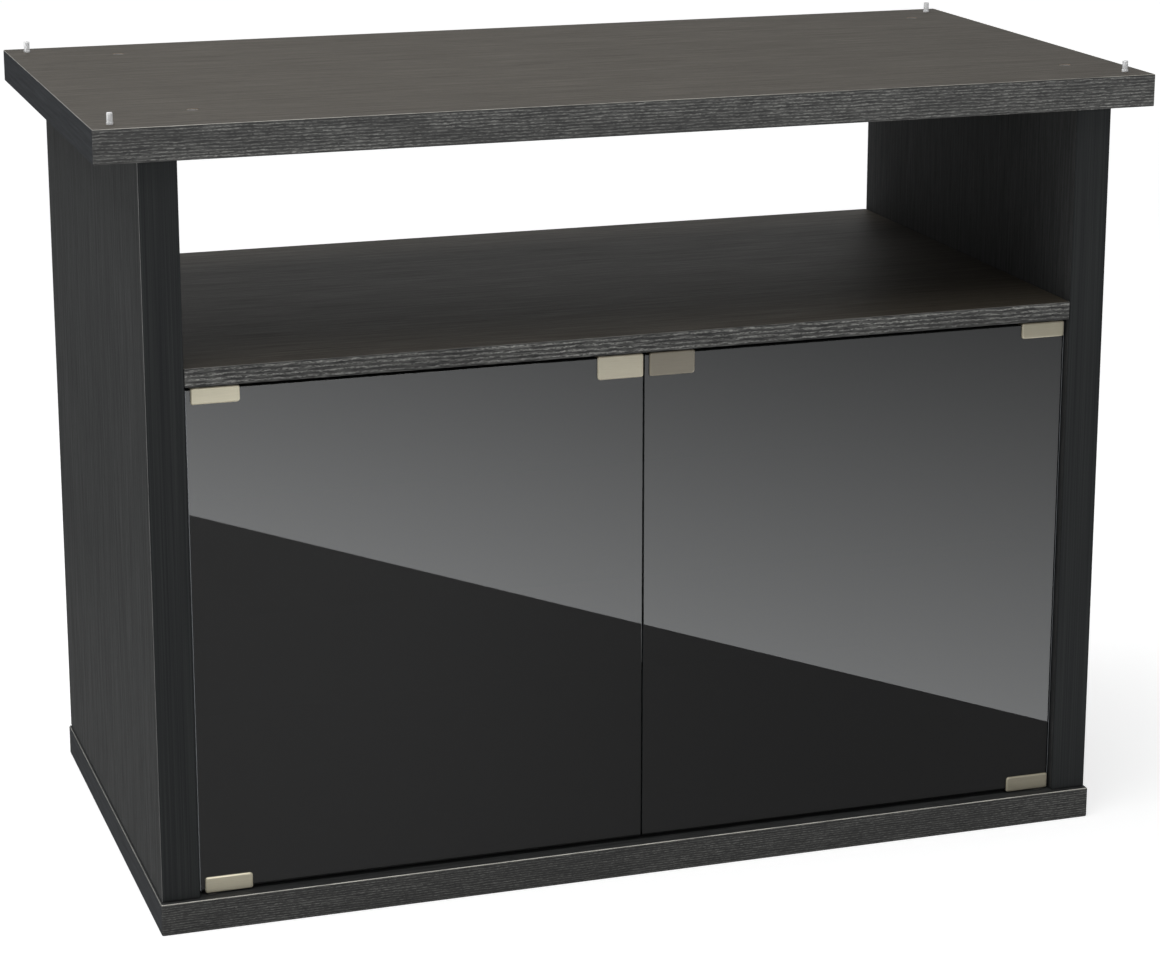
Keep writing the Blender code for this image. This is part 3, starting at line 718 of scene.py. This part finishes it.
def board(node, foil, band, arris, finish_for, holes=None, rounding=BOARD_ARRIS):
    """A foiled board: foil on its faces, band on its edges, core in its holes."""
    shape = box_shape(*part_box(node), rounding, finish_for)
    finishes = [foil, band, arris, CORE, END_FOIL, SIDE_ARRIS_LOOK]
    piece = new_object(shape, node + "_piece", finishes)
    if holes:
        combine(piece, holes, "DIFFERENCE")
    stand_for(piece, node)


def top_board():
    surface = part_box("top_board")[1].z
    holes = bmesh.new()
    for corner in CORNERS:
        low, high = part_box("locating_pin_" + corner)
        mouth = middle("locating_pin_" + corner)
        mouth.z = surface
        add_drill(holes, mouth, -UP, (high.x - low.x) / 2 + GAP, surface - low.z, RAW)
    for corner in CORNERS:
        low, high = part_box("cover_cap_" + corner)
        mouth = middle("cover_cap_" + corner)
        mouth.z = surface
        seat = surface - high.z + CAP_THICK + GAP
        add_drill(holes, mouth, -UP, (high.x - low.x) / 2 + GAP, seat, RAW)
    foil = board_foil("foil_top", "X", TOP_GRAIN, *WARM)
    band = edge_band("band_top", "X", TOP_GRAIN, TOP_BAND)
    board("top_board", foil, band, TOP_ARRIS, flat_board_finish, holes)


def base_board():
    low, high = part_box("base_board")
    holes = bmesh.new()
    for corner in CORNERS:
        screw_low, screw_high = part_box("base_screw_" + corner)
        mouth = middle("base_screw_" + corner)
        mouth.z = low.z
        radius = (screw_high.x - screw_low.x) / 2 + SCREW_HOLE_EXTRA
        add_drill(holes, mouth, UP, radius, BASE_SCREW_RECESS + BASE_SCREW_HEAD + GAP, RAW)
    for side, _ in SIDES:
        mouth = middle("pivot_bush_bottom_" + side)
        mouth.z = high.z
        add_drill(holes, mouth, -UP, BUSH_RADIUS + GAP, high.z - low.z - BUSH_RADIUS, RAW)
    foil = board_foil("foil_base", "X", BASE_GRAIN, *COOL)
    band = edge_band("band_base", "X", BASE_GRAIN, BASE_BAND)
    board("base_board", foil, band, BASE_ARRIS_LOOK, flat_board_finish, holes, BASE_ARRIS)


def side_panel(side, sign):
    """Its inner face has two rows of peg holes, of which the pegs use one each."""
    node = "side_panel_" + side
    low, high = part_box(node)
    inner_x = low.x if sign > 0 else high.x
    holes = bmesh.new()
    for end in ("front", "back"):
        peg = middle("shelf_peg_" + end + "_" + side)
        for count in range(-PEG_HOLES_EACH_WAY, PEG_HOLES_EACH_WAY + 1):
            mouth = Vector((inner_x, peg.y, peg.z + count * PEG_HOLE_PITCH))
            add_drill(holes, mouth, X_AXIS * sign, PEG_HOLE_RADIUS, PEG_HOLE_DEPTH + GAP, RAW)
    foil = board_foil("foil_" + node, "Z", SIDE_GRAIN + sign, *COOL)
    band = board_foil("band_" + node, "Z", SIDE_EDGE_GRAIN + sign, *COOL)
    board(node, foil, band, DIM_ARRIS, side_board_finish, holes)


def front_strip(side, sign):
    """Only its outer front edge is pale, a painted highlight."""
    node = "front_strip_" + side
    low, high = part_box(node)
    arris = min(STRIP_ARRIS, (high.y - low.y) / 2 - GAP)

    def finish_for(normal):
        return int(SLANTED < normal.x * sign < ALMOST_FLAT)

    shape = box_shape(low, high, arris, finish_for)
    finishes = [satin_strip(node + "_satin"), STRIP_ARRIS_LOOK]
    stand_for(new_object(shape, node + "_piece", finishes), node)


def niche_shelf():
    low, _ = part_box("niche_shelf")
    holes = bmesh.new()
    for side, _ in SIDES:
        mouth = middle("pivot_bush_top_" + side)
        mouth.z = low.z
        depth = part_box("pivot_bush_top_" + side)[1].z - low.z
        add_drill(holes, mouth, UP, BUSH_RADIUS + GAP, depth + GAP, RAW)
    foil = board_foil("foil_shelf", "X", SHELF_GRAIN, *WARM)
    band = edge_band("band_shelf", "X", SHELF_GRAIN, SHELF_BAND)
    board("niche_shelf", foil, band, DIM_ARRIS, flat_board_finish, holes)


def back_panel():
    low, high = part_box("back_panel")
    corners = OPENINGS["cable_outlet"]["box_m"]
    centre = (Vector(corners[0]) + Vector(corners[1])) / 2
    mouth = Vector((centre.x, low.y, centre.z))
    holes = bmesh.new()
    add_drill(holes, mouth, Y_AXIS, OUTLET_RADIUS, high.y - low.y + GAP, RAW, OUTLET_STEPS)
    foil = board_foil("foil_back", "Z", BACK_GRAIN, *COOL)
    board("back_panel", foil, foil, DIM_ARRIS, back_board_finish, holes)


def inner_shelf():
    foil = board_foil("foil_inner_shelf", "X", INNER_SHELF_GRAIN, *WARM)
    band = edge_band("band_inner_shelf", "X", INNER_SHELF_GRAIN, SHELF_BAND)
    board("inner_shelf", foil, band, DIM_ARRIS, flat_board_finish)


# ----------------------------------------------------- small turned fittings


def locating_pin(corner):
    node = "locating_pin_" + corner
    low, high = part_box(node)
    collar = (high.x - low.x) / 2
    surface = high.z - PIN_PROUD
    profile = [
        (0, 0),
        (collar, 0),
        (collar, surface + PIN_COLLAR_HEIGHT - low.z),
        (PIN_RADIUS, surface + PIN_COLLAR_HEIGHT - low.z),
        (PIN_RADIUS, high.z - low.z),
        (0, high.z - low.z),
    ]
    foot = middle(node)
    foot.z = low.z
    turned_piece(node, MILKY, profile, foot, UP, PIN_RADIUS / ROUNDING_PARTS)


def cover_cap(corner):
    node = "cover_cap_" + corner
    low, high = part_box(node)
    radius = (high.x - low.x) / 2
    top = high.z - low.z
    profile = [
        (0, 0),
        (CAP_STEM_RADIUS, 0),
        (CAP_STEM_RADIUS, top - CAP_THICK),
        (radius, top - CAP_THICK),
        (radius, top),
        (CAP_DISH_RADIUS, top),
        (CAP_DISH_RADIUS - CAP_DISH_DEPTH, top - CAP_DISH_DEPTH),
        (0, top - CAP_DISH_DEPTH / 2),
    ]
    foot = middle(node)
    foot.z = low.z
    turned_piece(node, CAP_PLASTIC, profile, foot, UP, FINE_EDGE)


def shelf_peg(end, side, sign):
    node = "shelf_peg_" + end + "_" + side
    low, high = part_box(node)
    radius = (high.z - low.z) / 2
    rounding = radius / ROUNDING_PARTS
    length = high.x - low.x
    profile = [(0, 0), (radius - GAP, 0), (radius - GAP, PEG_HOLE_DEPTH)]
    profile += [(radius, PEG_HOLE_DEPTH + GAP), (radius, length), (0, length)]
    foot = middle(node)
    foot.x = high.x if sign > 0 else low.x
    turned_piece(node, ZINC, profile, foot, -sign * X_AXIS, rounding)


def base_screw(corner):
    node = "base_screw_" + corner
    low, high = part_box(node)
    head = (high.x - low.x) / 2
    length = high.z - low.z
    profile = [(0, 0), (head, 0), (head, BASE_SCREW_HEAD)]
    profile.append((BASE_SCREW_SHANK, BASE_SCREW_HEAD + GAP))
    profile += threaded(BASE_SCREW_SHANK, length / 2, length - BASE_SCREW_SHANK)
    profile.append((0, length))
    foot = middle(node)
    foot.z = low.z
    shape = lathe_shape(profile, foot, UP)
    screw = new_object(shape, node + "_piece", [ZINC])
    cut_socket(screw, foot, UP, head * SOCKET_SHARE)
    stand_for(screw, node)


def pivot_bush(end, side, into):
    node = "pivot_bush_" + end + "_" + side
    low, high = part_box(node)
    flange = (high.x - low.x) / 2
    length = high.z - low.z
    profile = [
        (0, length),
        (BUSH_RADIUS, length),
        (BUSH_RADIUS, BUSH_FLANGE),
        (flange, BUSH_FLANGE),
        (flange, 0),
        (BUSH_BORE_RADIUS, 0),
        (BUSH_BORE_RADIUS, BUSH_BORE_DEPTH),
        (0, BUSH_BORE_DEPTH),
    ]
    foot = middle(node)
    foot.z = low.z if into > 0 else high.z
    turned_piece(node, DARK_PLASTIC, profile, foot, into * UP, FINE_EDGE)


# --------------------------------------------------------------------- doors


def door_glass(side, sign):
    """The pane. Its outer upright edge takes the brighter rim, a painted highlight."""
    node = "door_glass_" + side

    def finish_for(normal):
        if normal.x * sign > SLIGHTLY_SLANTED:
            return BRIGHT_RIM
        return PANE if abs(normal.y) > SLANTED else RIM

    shape = box_shape(*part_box(node), GLASS_ARRIS, finish_for)
    finishes = [GLASS, GLASS_RIM, GLASS_BRIGHT_RIM]
    stand_for(new_object(shape, node + "_piece", finishes), node)


def outline(low, high, radii):
    """A rectangle across Y with its own radius at each corner."""
    corners = (
        (low.x, low.z, 1, 1, 2 * QUARTER_TURN),
        (high.x, low.z, -1, 1, 3 * QUARTER_TURN),
        (high.x, high.z, -1, -1, 0),
        (low.x, high.z, 1, -1, QUARTER_TURN),
    )
    points = []
    for (x, z, turn_x, turn_z, start), radius in zip(corners, radii):
        for step in range(CORNER_STEPS + 1):
            angle = start + QUARTER_TURN * step / CORNER_STEPS
            across = x + turn_x * radius + radius * math.cos(angle)
            points.append((across, z + turn_z * radius + radius * math.sin(angle)))
    return points


def plate_shape(low, high, radii):
    """A plate across Y with rounded corners and softly rounded faces."""
    shape = bmesh.new()
    inset = Vector((1, 0, 1))
    reach = CLIP_CHAMFER + 2 * CLIP_SOFTNESS
    slope = [(reach, 0), (CLIP_CHAMFER, 0), (0, CLIP_CHAMFER), (0, reach)]
    layers = soften(slope, CLIP_SOFTNESS)
    front = [(margin, low.y + depth) for margin, depth in layers]
    back = [(margin, high.y - depth) for margin, depth in reversed(layers)]
    rings = []
    for margin, y in front + back:
        tight = [max(radius - margin / 2, GAP) for radius in radii]
        points = outline(low + inset * margin, high - inset * margin, tight)
        rings.append([shape.verts.new((x, y, z)) for x, z in points])
    for near, far in zip(rings, rings[1:]):
        for step in range(len(near)):
            following = (step + 1) % len(near)
            shape.faces.new((near[step], near[following], far[following], far[step]))
    shape.faces.new(rings[0])
    shape.faces.new(reversed(rings[-1]))
    shape.normal_update()
    # The chamfer faces take the second finish, a painted highlight.
    for face in shape.faces:
        face.material_index = int(SLIGHTLY_SLANTED < abs(face.normal.y) < ALMOST_FACING)
    return shape


def glass_clip(node, pad, screw, side, finishes, open_end, free_side):
    """A clip over the pane's edge, with the slot for glass and pad and a screw hole.

    open_end is -1 where it is open below and 1 where it is open above, and its corner
    at that end towards free_side is rounder.
    """
    low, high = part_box(node)
    glass_low, glass_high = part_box("door_glass_" + side)
    pad_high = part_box(pad)[1]
    if open_end < 0:
        high.z = glass_high.z + GAP + CLIP_BRIDGE
    else:
        low.z = glass_low.z - GAP - CLIP_BRIDGE
    radii = [CLIP_CORNER] * 4
    order = {(-1, -1): 0, (1, -1): 1, (1, 1): 2, (-1, 1): 3}
    radii[order[(free_side, open_end)]] = CLIP_FREE_CORNER
    piece = new_object(plate_shape(low, high, radii), node + "_piece", finishes)
    slot_low = Vector((low.x - CLIP_BRIDGE, glass_low.y - GAP, low.z - CLIP_BRIDGE))
    slot_high = Vector((high.x + CLIP_BRIDGE, pad_high.y + GAP, high.z + CLIP_BRIDGE))
    if open_end < 0:
        slot_high.z = high.z - CLIP_BRIDGE
    else:
        slot_low.z = low.z + CLIP_BRIDGE
    slot = bmesh.new()
    size = Matrix.Diagonal((*(slot_high - slot_low), 1.0))
    centre = Matrix.Translation((slot_low + slot_high) / 2)
    bmesh.ops.create_cube(slot, matrix=centre @ size)
    combine(piece, slot, "DIFFERENCE")
    screw_low, screw_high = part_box(screw)
    mouth = middle(screw)
    mouth.y = pad_high.y + GAP
    bore = bmesh.new()
    radius = (screw_high.x - screw_low.x) / 2 + GAP
    add_drill(bore, mouth, Y_AXIS, radius, high.y - mouth.y + GAP)
    combine(piece, bore, "DIFFERENCE")
    return piece


def hinge_clip(end, side, sign, outward):
    """The corner clip, and the pivot pin that stands on it."""
    tag = end + "_" + side
    node = "hinge_clip_" + tag
    pad, screw = "hinge_pad_" + tag, "hinge_screw_" + tag
    piece = glass_clip(node, pad, screw, side, HINGE_NICKEL[side], -outward, -sign)
    low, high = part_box(node)
    pivot = Vector(JOINTS["door_" + side + "_hinge"]["pos_m"])
    tip = high.z if outward > 0 else low.z
    if outward > 0:
        pivot.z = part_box("door_glass_" + side)[1].z + CLIP_BRIDGE
    else:
        pivot.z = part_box("door_glass_" + side)[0].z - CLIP_BRIDGE
    reach = abs(tip - pivot.z)
    profile = soften([(0, 0), (PIVOT_RADIUS, 0), (PIVOT_RADIUS, reach), (0, reach)], SOFT_EDGE)
    combine(piece, lathe_shape(profile, pivot, outward * UP), "UNION")
    stand_for(piece, node)
    clip_fittings(pad, screw)


def catch_plate(side, sign):
    node = "catch_plate_" + side
    pad, screw = "catch_pad_" + side, "catch_screw_" + side
    piece = glass_clip(node, pad, screw, side, CATCH_NICKEL[side], -1, sign)
    stand_for(piece, node)
    clip_fittings(pad, screw)


def clip_fittings(pad, screw):
    """The pad behind the pane, and the grub screw that presses on it."""
    low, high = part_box(pad)
    shape = box_shape(low, high, PAD_ARRIS)
    stand_for(new_object(shape, pad + "_piece", [RUBBER]), pad)
    low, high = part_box(screw)
    radius = (high.x - low.x) / 2
    length = high.y - low.y
    foot = middle(screw)
    foot.y = low.y
    profile = [(0, 0)] + threaded(radius, 0, length)
    profile += [(radius - THREAD_DEPTH, length), (0, length)]
    made = new_object(lathe_shape(profile, foot, Y_AXIS), screw + "_piece", [ZINC])
    cut_socket(made, foot + Y_AXIS * length, -Y_AXIS, radius * SOCKET_SHARE)
    stand_for(made, screw)


# ------------------------------------------------------------------- latches


def push_latch(side):
    """Housing and screw on the shelf, and the plunger and magnet that slide."""
    housing, plunger = "latch_housing_" + side, "latch_plunger_" + side
    low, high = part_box(housing)
    shape = box_shape(low, high, HOUSING_ARRIS)
    body = new_object(shape, housing + "_piece", [DARK_PLASTIC])
    plunger_low, plunger_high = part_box(plunger)
    radius = (plunger_high.x - plunger_low.x) / 2
    mouth = middle(plunger)
    mouth.y = low.y
    bores = bmesh.new()
    add_drill(bores, mouth, Y_AXIS, radius + PLUNGER_CLEARANCE, PLUNGER_BORE)
    screw = "latch_screw_" + side
    screw_low, screw_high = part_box(screw)
    under = middle(screw)
    under.z = low.z
    head = (screw_high.x - screw_low.x) / 2
    sink = LATCH_SCREW_SINK + LATCH_SCREW_HEAD + GAP
    add_drill(bores, under, UP, head + SCREW_HOLE_EXTRA, sink)
    combine(body, bores, "DIFFERENCE")
    stand_for(body, housing)
    latch_screw(screw, head)
    length = plunger_high.y - plunger_low.y
    foot = Vector((mouth.x, plunger_low.y, mouth.z))
    profile = [(0, 0), (radius, 0), (radius, length), (0, length)]
    turned_piece(plunger, MILKY, profile, foot, Y_AXIS, PLUNGER_EDGE)
    magnet = "latch_magnet_" + side
    magnet_low, magnet_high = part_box(magnet)
    radius = (magnet_high.x - magnet_low.x) / 2
    thick = magnet_high.y - magnet_low.y
    foot = Vector((mouth.x, magnet_low.y, mouth.z))
    profile = [(0, 0), (radius, 0), (radius, thick), (0, thick)]
    turned_piece(magnet, MAGNET_STEEL, profile, foot, Y_AXIS)


def latch_screw(node, head):
    low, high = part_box(node)
    length = high.z - low.z
    profile = [(0, 0), (head, 0), (head, LATCH_SCREW_HEAD)]
    profile.append((LATCH_SCREW_SHANK, LATCH_SCREW_HEAD + GAP))
    profile += threaded(LATCH_SCREW_SHANK, length / 2, length - 2 * LATCH_SCREW_SHANK)
    profile.append((0, length))
    foot = middle(node)
    foot.z = low.z
    screw = new_object(lathe_shape(profile, foot, UP), node + "_piece", [ZINC])
    cut_socket(screw, foot, UP, head * SOCKET_SHARE)
    stand_for(screw, node)


# -------------------------------------------------------------------- studio


def aim_camera():
    data = bpy.data.cameras.new("camera")
    data.lens = LENS
    data.sensor_width = SENSOR
    data.shift_y = SHIFT_UP
    camera = bpy.data.objects.new("camera", data)
    camera.location = EYE
    camera.rotation_euler = (QUARTER_TURN - TILT, 0, -TURN)
    bpy.context.scene.collection.objects.link(camera)
    bpy.context.scene.camera = camera


def soft_light(name, place, target, width, height, watts):
    data = bpy.data.lights.new(name, "AREA")
    data.shape = "RECTANGLE"
    data.size = width
    data.size_y = height
    data.energy = watts
    light = bpy.data.objects.new(name, data)
    light.location = place
    light.rotation_euler = (target - place).to_track_quat("-Z", "Y").to_euler()
    bpy.context.scene.collection.objects.link(light)


def sky():
    """A dim even surround for the light, and a pale one behind the object."""
    world = bpy.data.worlds.new("surround")
    world.use_nodes = True
    bpy.context.scene.world = world
    tree = world.node_tree
    lit = tree.nodes["Background"]
    lit.inputs["Color"].default_value = DAYLIGHT
    lit.inputs["Strength"].default_value = SURROUND_LIGHT
    seen = tree.nodes.new("ShaderNodeBackground")
    seen.inputs["Color"].default_value = WHITE
    seen.inputs["Strength"].default_value = SURROUND_SEEN
    path = tree.nodes.new("ShaderNodeLightPath")
    both = tree.nodes.new("ShaderNodeMixShader")
    tree.links.new(path.outputs["Is Camera Ray"], both.inputs["Fac"])
    tree.links.new(lit.outputs["Background"], both.inputs[1])
    tree.links.new(seen.outputs["Background"], both.inputs[2])
    tree.links.new(both.outputs["Shader"], tree.nodes["World Output"].inputs["Surface"])


def pale_floor():
    """A floor that glows more with distance, and that reflections don't see."""
    look = Look("floor")
    drift = look.speckle(size=0.8, offset=1.0)
    tone = look.mix(look.spread(drift), *FLOOR_TONES)
    source = look.add("TexCoord", {}).outputs["Object"]
    away = look.tree.nodes.new("ShaderNodeVectorMath")
    away.operation = "LENGTH"
    look.fill(away, {"Vector": source})
    distance = away.outputs["Value"]
    glow = look.spread(distance, FLOOR_NEAR_GLOW, FLOOR_FAR_GLOW, FLOOR_NEAR, FLOOR_FAR)
    values = {"Base Color": tone, "Roughness": 0.9, "Specular IOR Level": 0.1}
    values.update({"Emission Color": WHITE, "Emission Strength": glow})
    look.done(values)
    look.material.cycles.emission_sampling = "NONE"
    shape = bmesh.new()
    bmesh.ops.create_grid(shape, x_segments=1, y_segments=1, size=FLOOR_HALF)
    floor = new_object(shape, "floor", [look.material])
    floor.visible_glossy = False


def mirrored_on_floor(x, z):
    """Where the eye's sight line meets the floor after the doors reflect it there."""
    spot = Vector((x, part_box("door_glass_left")[0].y, z))
    away = spot - EYE
    away.y = -away.y
    return spot + away * (spot.z / -away.z)


def card(name, start, along, outward, size, material):
    """A card that only reflections see, from start. Its own Y runs outward."""
    length, depth = size
    shape = bmesh.new()
    bmesh.ops.create_grid(shape, x_segments=1, y_segments=1, size=HALF_METRE)
    bmesh.ops.scale(shape, vec=(length, depth, 1), verts=shape.verts)
    bmesh.ops.translate(shape, vec=(0, depth / 2, 0), verts=shape.verts)
    made = new_object(shape, name, [material])
    axes = Matrix((along, outward, along.cross(outward))).transposed().to_4x4()
    made.matrix_world = Matrix.Translation(start + UP * CARD_HEIGHT) @ axes
    made.visible_camera = False
    made.visible_diffuse = False
    made.visible_transmission = False
    made.visible_volume_scatter = False
    made.visible_shadow = False


def glow_material():
    """Bright at the card's near edge, and fading with distance to the surround's light."""
    look = Look("glow")
    source = look.add("TexCoord", {}).outputs["Object"]
    distance = look.add("SeparateXYZ", {"Vector": source}).outputs["Y"]
    fade = look.sums("POWER", math.exp(-1 / GLOW_FADE), distance)
    strength = look.sums("MULTIPLY", fade, GLOW_BRIGHT)
    values = {"Base Color": BLACK, "Emission Color": PANEL_LIGHT}
    values["Emission Strength"] = look.sums("MAXIMUM", strength, SURROUND_LIGHT)
    return look.done(values)


def even_glow(name, strength):
    look = Look(name)
    values = {"Base Color": BLACK, "Emission Color": WHITE, "Emission Strength": strength}
    return look.done(values)


def reflected_cards():
    """A bright floor card in front of the doors, and a dark one up to them."""
    left = mirrored_on_floor(*SHADE_LEFT)
    right = mirrored_on_floor(*SHADE_RIGHT)
    along = (left - right).normalized()
    outward = UP.cross(along)
    if outward.y > 0:
        outward = -outward
    centre = (left + right) / 2
    along = outward.cross(UP)
    card("glow_card", centre, along, outward, GLOW_CARD, glow_material())
    card("shade_card", centre, -along, -outward, SHADE_CARD, even_glow("shade", SHADE_BRIGHT))
    backdrop = even_glow("backdrop_glow", BACK_BRIGHT)
    card("back_card", BACK_CARD_FOOT, X_AXIS, UP, BACK_CARD, backdrop)


def studio():
    aim_camera()
    sky()
    pale_floor()
    reflected_cards()
    for light in SOFT_LIGHTS:
        soft_light(*light)


def build():
    top_board()
    base_board()
    niche_shelf()
    back_panel()
    inner_shelf()
    for corner in CORNERS:
        locating_pin(corner)
        cover_cap(corner)
        base_screw(corner)
    for side, sign in SIDES:
        side_panel(side, sign)
        front_strip(side, sign)
        door_glass(side, sign)
        for end, outward in ENDS:
            pivot_bush(end, side, outward)
            hinge_clip(end, side, sign, outward)
        catch_plate(side, sign)
        push_latch(side)
        for end in ("front", "back"):
            shelf_peg(end, side, sign)


bpy.context.scene.view_settings.view_transform = "Standard"
build()
studio()
